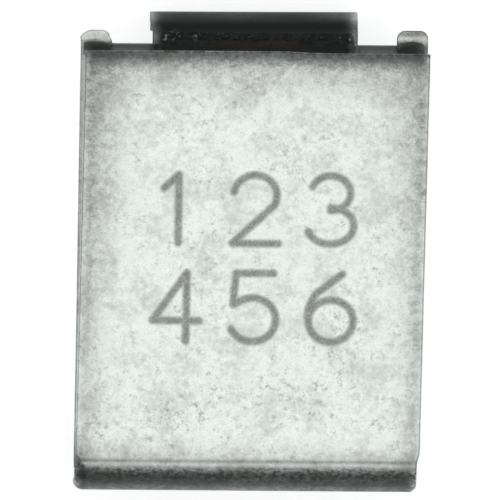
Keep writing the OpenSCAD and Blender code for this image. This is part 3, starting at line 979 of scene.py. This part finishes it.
def lower_grid(sheet, sizes):
    """The lower terminal laid out flat, as upper_grid gives the upper one."""
    top = LOWER[1][2]
    start = LOWER[0][1]
    bend = LOWER[1][1] - sheet.outer
    turned, wall, turned_in, end = fold_lengths(bend, top, sheet)
    slot = bend - sizes.slot_land
    tips = (slot + sizes.nub_left, slot + sizes.nub_right)
    step_at = bend + math.asin((slot + sizes.neck_length - bend) / sheet.outer) * sheet.middle
    rounds = (sizes.round_left, sizes.round_right)
    rows = rows_at(
        start + EDGE_STEPS, steps(start + EDGE_STEPS[-1], slot - EDGE_STEPS[-1], HIDDEN_STEP),
        slot - EDGE_STEPS, slot + EDGE_STEPS[:7], steps(slot, min(tips) - max(rounds), NUB_STEP),
        *(corner_rows(tip, r, 12) for tip, r in zip(tips, rounds)),
        *(tip - EDGE_STEPS[:6] for tip in tips),
        steps(bend, turned, NUB_STEP), step_at + np.linspace(0, sizes.neck_step, 5),
        steps(turned, wall, FOOT_STEP), foot_rows(wall, turned_in, end, sheet),
    )
    left_half = np.interp(rows, [start, slot], [BODY_HALF, BODY_HALF - sizes.left_draw])
    left_half -= np.interp(rows, [*(start + np.array(LEFT_DRAW[0])), slot - 1.5], LEFT_DRAW[1])
    left_half += sizes.nub_bulge * bell(rows - slot - 0.12, 0.06)
    right_half = np.interp(rows, [start, slot], [BODY_HALF - sizes.taper, BODY_HALF])
    left_in, right_in = (corner_arc(np.minimum(rows, tip), tip, r) for tip, r in zip(tips, rounds))
    neck_right = sheet.foot_half - corner_arc(rows, end, sheet.foot_corner)
    neck_left = neck_right - np.interp(
        rows, [step_at, step_at + sizes.neck_step, step_at + 0.16, turned + 0.2, turned + 0.4],
        [sizes.neck_step, -0.008, 0, 0, sizes.foot_draw],
    )
    nub = span(sizes.nub_width, 0.05)
    land = span(BODY_HALF - sizes.nub_width - sheet.foot_half, PLAIN_STEP)
    x, strips = columns(
        [left_in - left_half, sizes.nub_width - left_half - left_in, -neck_left,
         neck_right, right_half - sizes.nub_width + right_in, right_half - right_in],
        [nub, land, span(2 * sheet.foot_half, PLAIN_STEP), land, nub],
    )
    s = np.broadcast_to(rows, x.shape)
    middle = (rows[1:] + rows[:-1]) / 2
    cells = (strips == 2)[:, None] | (middle < slot)[None, :]
    for strip, tip in zip((0, 4), tips):
        cells |= (strips == strip)[:, None] & (middle < tip)[None, :]
    return SimpleNamespace(
        x=x, s=s, cells=cells, distance=outline_distance(x, s, cells), top=top, start=start,
        bend=bend, slot=slot, left=left_half - left_in, neck_left=neck_left, neck_right=neck_right,
        on_neck=(x >= -neck_left - 1e-6) & (x <= neck_right + 1e-6),
    )


def lower_shade_and_tarnish(at, sizes):
    """The lower terminal's shade and crust, as upper_shade_and_tarnish gives them."""
    x, s = at.x, at.s
    past, past_slot, from_rear, from_left = s - at.bend, s - at.slot, s - at.start, x + at.left

    # Painted highlights at both ends of the tab's bend
    ends = np.interp(x + at.neck_left, *TAB_LEFT_HIGHLIGHT) + np.interp(at.neck_right - x, *TAB_RIGHT_HIGHLIGHT)
    ends *= np.interp(past, *TAB_END_HIGHLIGHT)
    rim = 0.03 * bell(x + 0.35, 0.45) + np.interp(x, [-1.8, -1.4, 0.9, 1.75], [0.05, 0, 0, 0.09])
    tab = np.interp(past, *TAB_SHADE) + np.interp(past, [0.30, 0.45], [0, 1]) * rim
    tab = np.minimum(tab + ends * (past > -0.1), 1)

    # The flux on each nub ends in a bow, and in a slope beside the chip
    nubs = np.interp(past_slot, *NUB_SHADE) * np.where(x < 0, 1, np.interp(past_slot, *RIGHT_NUB))
    nub_x = np.abs(x) - BODY_HALF + sizes.nub_width / 2
    bow_left = np.where(nub_x > 0.08, 1.2, 0.5) * (nub_x - 0.08) ** 2
    bow_right = np.where(nub_x > 0, 1.55, 0.4) * nub_x ** 2 - 0.018 * bell(nub_x, 0.05)
    bow = np.where(x < 0, bow_left - 0.037, bow_right - 0.060) + past_slot
    slope = np.where(x < 0, 0.5, np.interp(past_slot, [-0.07, -0.02], [0.33, 0.5]))
    outside = np.maximum(bow, (nub_x - np.where(x < 0, 0.16, 0.09)) * slope)
    outside += 0.02 * lattice_noise(x / 0.07, s / 0.05, 41)
    nubs = nubs * np.interp(outside, *FLUX_EDGE)
    nubs = np.maximum(nubs, 0.55 * bell(from_left - 0.03, 0.045) * (past_slot < 0.1))

    # Painted shade on the strip beside the upper plate, darker at its outer edge and deepest near the
    # rear edge by the notch
    strip = np.interp(from_left, *STRIP_SHADE_ACROSS) * np.interp(from_rear, *STRIP_SHADE_ALONG)
    near_rear = np.clip(1.25 - from_rear / 0.25, 0, 1)
    strip = strip * (1 - near_rear) + np.interp(from_left, *STRIP_SHADE_REAR) * near_rear
    shade = np.where(at.on_neck, tab, nubs)
    shade = np.where(past_slot < -0.2, np.where(x < 0, strip, 0.9), shade)
    return {"shade": shade, "crust": np.where(at.on_neck & (past > 0), -0.65, 0.0)}


class FUSE_OT_lower_terminal(bpy.types.Operator):
    """Build the lower plate with its nubs, neck, tab, wall and foot."""

    bl_idname = "fuse.lower_terminal"
    bl_label = "Lower Terminal"

    def execute(self, context):
        scene = context.scene
        sheet, sizes = sheet_sizes(scene), millimetres(scene.fuse_lower)
        at = lower_grid(sheet, sizes)
        lift = sheet.half - rounded(at.distance, sheet.edge * 0.7)
        under = -sheet.half + rounded(at.distance, sheet.burr)
        leaning = at.on_neck * grow(at.s, at.slot, 0.1) * (sheet.foot_half - at.x) / sheet.foot_width

        def face(rise):
            points = placed(at.x, at.s, rise, 1, at.bend, at.top, sheet, ~at.on_neck)
            points[..., 1] -= sizes.lean * leaning * np.clip(points[..., 2] / at.top, 0, 1)
            return points

        piece = closed_shell(
            "lower_terminal_sheet", [face(lift), face(under)], at.cells, lower_shade_and_tarnish(at, sizes)
        )
        dress(piece, tin_plate("tin plate", scene.fuse_finishes), "tin_plate", "lower_terminal")
        return {"FINISHED"}


# Solder and chip

def fillet_grid(sheet, sizes, lower):
    """The rough solder in front of the chip: its two faces, and the places that
    its material needs. Columns run from the chip's front to the solder's edge."""
    radius, foot_half = sheet.outer, sheet.foot_half
    bend = LOWER[1][1] - radius
    slot = bend - lower.slot_land
    chip_front = CHIP[1][1]
    nub_in = BODY_HALF - lower.nub_width
    x = np.linspace(-CHIP[1][0] - sizes.spill, CHIP[1][0] + sizes.spill, 440)
    v = np.linspace(0, 1, 44)
    toe = slot - sizes.fillet_margin
    left = -foot_half + lower.neck_step + 2.1 * sizes.skin_inset
    right = foot_half - sizes.skin_inset

    # The edge: the toe of the fillet, the skin's ragged end and the two lobes
    ragged = 0.014 * lattice_noise(x / 0.16, x * 0, 3) + 0.010 * lattice_noise(x / 0.05, x * 0, 4)
    inside = grow(np.minimum(x - left, right - x), 0, 0.06)
    reach = toe + (slot + sizes.skin_reach - 0.01 + ragged - toe) * np.sqrt(inside)
    lobe_radius = lower.nub_width / 2 - sizes.lobe_inset
    for side, more in ((-1, -0.085), (1, -0.045)):
        off = (x - side * (BODY_HALF - lower.nub_width / 2)) / lobe_radius
        lobe = slot + (sizes.lobe_reach + more) * np.clip(1 - off ** 2, 0, 1) ** 0.8 - 0.01
        reach = np.where(np.abs(off) < 1, np.maximum(reach, lobe), reach)

    y = chip_front + (reach - chip_front)[:, None] * v ** 1.2
    x = np.broadcast_to(x[:, None], y.shape)
    past = np.clip(y - bend, 0, radius)
    base = LOWER[1][2] - radius + np.sqrt(radius ** 2 - past ** 2)
    q = np.clip((y - chip_front) / (toe - chip_front), 0, 1)
    fillet = sizes.fillet_height * (1 - np.sqrt(1 - (1 - q) ** 2)) * (
        1 + 0.12 * lattice_noise(x / 0.5, q * 2, 8)
    )
    lumps = sizes.lumps * (
        0.6 * lattice_noise(x / 0.11, y / 0.07, 5) + 0.4 * lattice_noise(x / 0.045, y / 0.04, 6)
    )
    across = np.abs(x)
    over_slot = (across > foot_half) & (across < nub_in)
    skin = sizes.skin + lumps * np.clip(q * 2, 0, 1) * np.where(over_slot, 0.25, 1)
    crown = np.where(across > nub_in, sizes.lobe_height * 0.5, 0)
    crown = crown * np.clip(1 - ((y - toe) / 0.14) ** 2, 0, 1)
    fade = np.clip((1 - v) / 0.20, 0, 1)
    fade = np.sqrt(1 - (1 - fade) ** 2)
    height = np.minimum(fillet + (skin + crown * q) * fade, sizes.fillet_height + sizes.skin)
    return SimpleNamespace(
        faces=[np.stack([x, y, base + height], -1), np.stack([x, y, base - 0.004], -1)],
        x=x, past_slot=y - slot, to_edge=reach[:, None] - y, across=across, left=left, right=right,
        foot_half=foot_half, nub_in=nub_in,
    )


def fillet_finish(at):
    """The solder's numbers for its material: bare, grey without flux, lessened towards the chip as
    painted shade; rough_zone, the burnt skin on the neck; sparkle, more glints; and amber, brown flux."""
    on_neck = at.across < at.foot_half
    bare = np.clip(
        np.minimum(at.across - at.foot_half + 0.01, at.nub_in - at.across) / 0.16 + 0.5, 0, 1
    )
    # Painted shade: the grey solder darkens towards the chip
    bare *= np.interp(at.past_slot, [-0.13, -0.08, -0.045, -0.015], [0.75, 0.85, 1.05, 1.45])
    bare += 0.18 * bell(at.x - at.left, 0.045)
    bare += 0.42 * grow(at.x - at.right, -0.13, 0.05) * on_neck
    lobe_edge = np.clip(1 - at.to_edge / 0.09, 0, 1) ** 1.5
    lobe_side = grow(at.across, CHIP[1][0] - 0.12, 0.16)
    bare = np.where(at.across > at.nub_in, 0.15 + 0.7 * np.maximum(lobe_edge, lobe_side), bare)
    sparkle = bell(at.x + 1.62, 0.10) + bell(at.x + 1.07, 0.05) + bell(at.x - 1.77, 0.035)
    amber = np.interp(at.x, [-1.1, -0.95, -0.1, 0.15, 0.5, 0.75, 1.0], [0, 0.55, 0.6, 1, 1, 0.5, 0])
    return {
        "bare": bare, "rough_zone": grow(at.past_slot, 0.04, 0.05) * on_neck,
        "sparkle": sparkle * grow(at.past_slot, -0.02, 0.05) * on_neck,
        "amber": amber * bell(at.past_slot, 0.065),
    }


def layer_block(name, low, high, wander, seed, loops):
    """A thin layer between two corners: a grid in plan whose four sides wander
    inwards by smooth noise, with loops of points round its upright sides."""
    u, v = (np.unique([*np.linspace(0, 1, count), 0.002, 0.998]) for count in (90, 110))
    gu, gv = np.meshgrid(u, v, indexing="ij")
    width, run = high[0] - low[0], high[1] - low[1]
    inward = [
        wander * (0.5 + 0.35 * lattice_noise(t * size / 0.4, t * 0 + 0.3, seed + k)
                  + 0.15 * lattice_noise(t * size / 0.09, t * 0 + 0.6, seed + k + 10))
        for k, (t, size) in enumerate(((gv, run), (gv, run), (gu, width), (gu, width)))
    ]
    x = low[0] + inward[0] + (width - inward[0] - inward[1]) * gu
    y = low[1] + inward[2] + (run - inward[2] - inward[3]) * gv
    grids = [np.stack([x, y, np.full_like(x, z)], -1) for z in np.linspace(high[2], low[2], loops + 2)]
    return closed_shell(name, grids, np.ones((len(u) - 1, len(v) - 1), bool))


class FUSE_OT_solder(bpy.types.Operator):
    """Build the rough solder in front of the chip and the two solder layers."""

    bl_idname = "fuse.solder"
    bl_label = "Solder"

    def execute(self, context):
        scene = context.scene
        at = fillet_grid(
            sheet_sizes(scene), millimetres(scene.fuse_solder), millimetres(scene.fuse_lower)
        )
        cells = np.ones(np.array(at.x.shape) - 1, bool)
        fillet = closed_shell("lower_solder_fillet", at.faces, cells, fillet_finish(at))
        material = fluxed_solder("fluxed solder", scene.fuse_finishes)
        dress(fillet, material, "solder", "lower_solder")
        low, high = node_box("upper_solder")
        under = (low[0], CHIP[0][1], LOWER[1][2]), (high[0], CHIP[1][1], node_box("lower_foil")[0][2])
        for name, node, corners, seed in (
            ("upper_solder_layer", "upper_solder", (low, high), 22),
            ("lower_solder_layer", "lower_solder", under, 21),
        ):
            layer = layer_block(name, *corners, LAYER_WANDER, seed, 3)
            dress(layer, material, "solder", node)
        return {"FINISHED"}


class FUSE_OT_chip(bpy.types.Operator):
    """Build the polymer chip and the two foils on it."""

    bl_idname = "fuse.chip"
    bl_label = "Chip and Foils"

    def execute(self, context):
        finishes = context.scene.fuse_finishes
        polymer = carbon_polymer("carbon polymer", finishes)
        foil = nickel_foil("nickel foil", finishes)
        for name, node, material, slot_name, wander, seed, loops in (
            ("chip_block", "polymer_chip", polymer, "polymer", CHIP_WANDER, 31, 6),
            ("upper_foil_layer", "upper_foil", foil, "nickel_foil", FOIL_WANDER, 32, 1),
            ("lower_foil_layer", "lower_foil", foil, "nickel_foil", FOIL_WANDER, 33, 1),
        ):
            piece = layer_block(name, *node_box(node), wander, seed, loops)
            dress(piece, material, slot_name, node)
        return {"FINISHED"}


# Stage

class FUSE_OT_stage(bpy.types.Operator):
    """Set the camera, the softbox, the surroundings and the floor."""

    bl_idname = "fuse.stage"
    bl_label = "Stage"

    def execute(self, context):
        scene = context.scene
        stage = scene.fuse_stage
        aim = np.array([stage.aim_x, stage.aim_y, UPPER[1][2] * MM])
        back = np.array([-math.sin(stage.side_angle), 0, math.cos(stage.side_angle)])
        upward = np.array([-math.sin(stage.roll), math.cos(stage.roll), 0])
        right = np.cross(upward, back)
        right /= np.linalg.norm(right)
        camera = bpy.data.cameras.new("camera")
        camera.lens = camera.sensor_width * stage.distance / stage.picture
        camera.clip_start, camera.clip_end = CLIP
        seen = bpy.data.objects.new("camera", camera)
        matrix = np.eye(4)
        matrix[:3, :3] = np.stack([right, np.cross(back, right), back], 1)
        matrix[:3, 3] = aim + back * stage.distance
        seen.matrix_world = Matrix(matrix.tolist())
        scene.collection.objects.link(seen)
        scene.camera = seen

        size = 2 * stage.lamp_height * math.tan(stage.lamp_angle)
        lamp = bpy.data.lights.new("softbox", "AREA")
        lamp.shape = "DISK"
        lamp.size = size
        lamp.energy = 2 * stage.lamp_level * math.pi * math.pi * (size / 2) ** 2
        box = bpy.data.objects.new("softbox", lamp)
        box.location = (0, 0, stage.lamp_height)
        box.visible_camera = False
        scene.collection.objects.link(box)

        scene.world = bpy.data.worlds.new("surroundings")
        world = Nodes(scene.world)
        sky = world.new(
            "ShaderNodeBackground", {"Color": (*stage.sky, 1), "Strength": stage.world_level}
        )
        world.new("ShaderNodeOutputWorld", {"Surface": sky.outputs[0]})

        # The floor: a flat disc with an upturned rim, a little under the feet
        radius = np.concatenate([np.geomspace(0.002, stage.floor_radius, 20),
                                 stage.floor_radius * (1 + np.linspace(0.05, 0.9, 20))])[:, None]
        turn = np.linspace(0, 2 * math.pi, 97)[:-1]
        rise = stage.floor_rise * np.clip(radius / stage.floor_radius - 1, 0, 1) ** 2
        grid = np.stack(np.broadcast_arrays(radius * np.cos(turn), radius * np.sin(turn), rise), -1)
        width = len(turn)
        i, j = np.meshgrid(np.arange(len(radius) - 1), np.arange(width), indexing="ij")
        k = (j + 1) % width
        faces = np.stack([i * width + j, (i + 1) * width + j, (i + 1) * width + k, i * width + k], -1)
        mesh = bpy.data.meshes.new("floor")
        mesh.from_pydata(
            grid.reshape(-1, 3) - (0, 0, FLOOR_GAP), [],
            faces.reshape(-1, 4).tolist() + [list(range(width))],
        )
        mesh.polygons.foreach_set("use_smooth", np.ones(len(mesh.polygons), bool))
        floor = bpy.data.objects.new("floor", mesh)
        scene.collection.objects.link(floor)
        mesh.materials.append(pale_floor("pale floor", stage))
        scene.view_settings.view_transform = "Standard"
        return {"FINISHED"}


def pale_floor(name, stage):
    """Matt and pale, with a glow that only the camera and reflections see, and
    clear from below."""
    material = bpy.data.materials.new(name)
    floor = Nodes(material)
    rays = floor.new("ShaderNodeLightPath").outputs
    direct = floor.calc("MAXIMUM", rays["Is Camera Ray"], rays["Is Glossy Ray"])
    direct = floor.calc("MAXIMUM", direct, rays["Is Transmission Ray"])
    matte = floor.new("ShaderNodeBsdfDiffuse", {"Color": (*[stage.floor_level] * 3, 1)})
    glow = floor.new(
        "ShaderNodeEmission", {"Color": (1, 1, 1, 1), "Strength": floor.times(direct, stage.floor_glow)}
    )
    both = floor.new("ShaderNodeAddShader", {0: matte.outputs[0], 1: glow.outputs[0]})
    clear = floor.new("ShaderNodeBsdfTransparent")
    facing = floor.new("ShaderNodeNewGeometry").outputs["Backfacing"]
    shown = floor.new("ShaderNodeMixShader", {0: facing, 1: both.outputs[0], 2: clear.outputs[0]})
    floor.new("ShaderNodeOutputMaterial", {"Surface": shown.outputs[0]})
    return material


class FUSE_PT_looks(bpy.types.Panel):
    """Lists the steps that build the fuse's looks."""

    bl_idname = "FUSE_PT_looks"
    bl_label = "Resettable Fuse"
    bl_space_type = "VIEW_3D"
    bl_region_type = "UI"
    bl_category = "Fuse"

    def draw(self, context):
        for operator in OPERATORS:
            self.layout.operator(operator.bl_idname)


GROUPS = {
    "fuse_sheet": SheetSizes, "fuse_upper": UpperSizes, "fuse_lower": LowerSizes,
    "fuse_solder": SolderSizes, "fuse_marks": MarkSettings, "fuse_finishes": Finishes,
    "fuse_stage": StageSettings,
}
OPERATORS = (
    FUSE_OT_stage, FUSE_OT_upper_terminal, FUSE_OT_lower_terminal, FUSE_OT_solder, FUSE_OT_chip,
)


def register():
    for group in GROUPS.values():
        bpy.utils.register_class(group)
    for name, group in GROUPS.items():
        setattr(bpy.types.Scene, name, bpy.props.PointerProperty(type=group))
    for operator in OPERATORS:
        bpy.utils.register_class(operator)
    bpy.utils.register_class(FUSE_PT_looks)


def unregister():
    bpy.utils.unregister_class(FUSE_PT_looks)
    for operator in reversed(OPERATORS):
        bpy.utils.unregister_class(operator)
    for name in GROUPS:
        delattr(bpy.types.Scene, name)
    for group in reversed(GROUPS.values()):
        bpy.utils.unregister_class(group)


def main():
    """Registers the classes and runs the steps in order."""
    register()
    for operator in OPERATORS:
        getattr(bpy.ops.fuse, operator.bl_idname.partition(".")[2])()


if __name__ == "__main__":
    main()
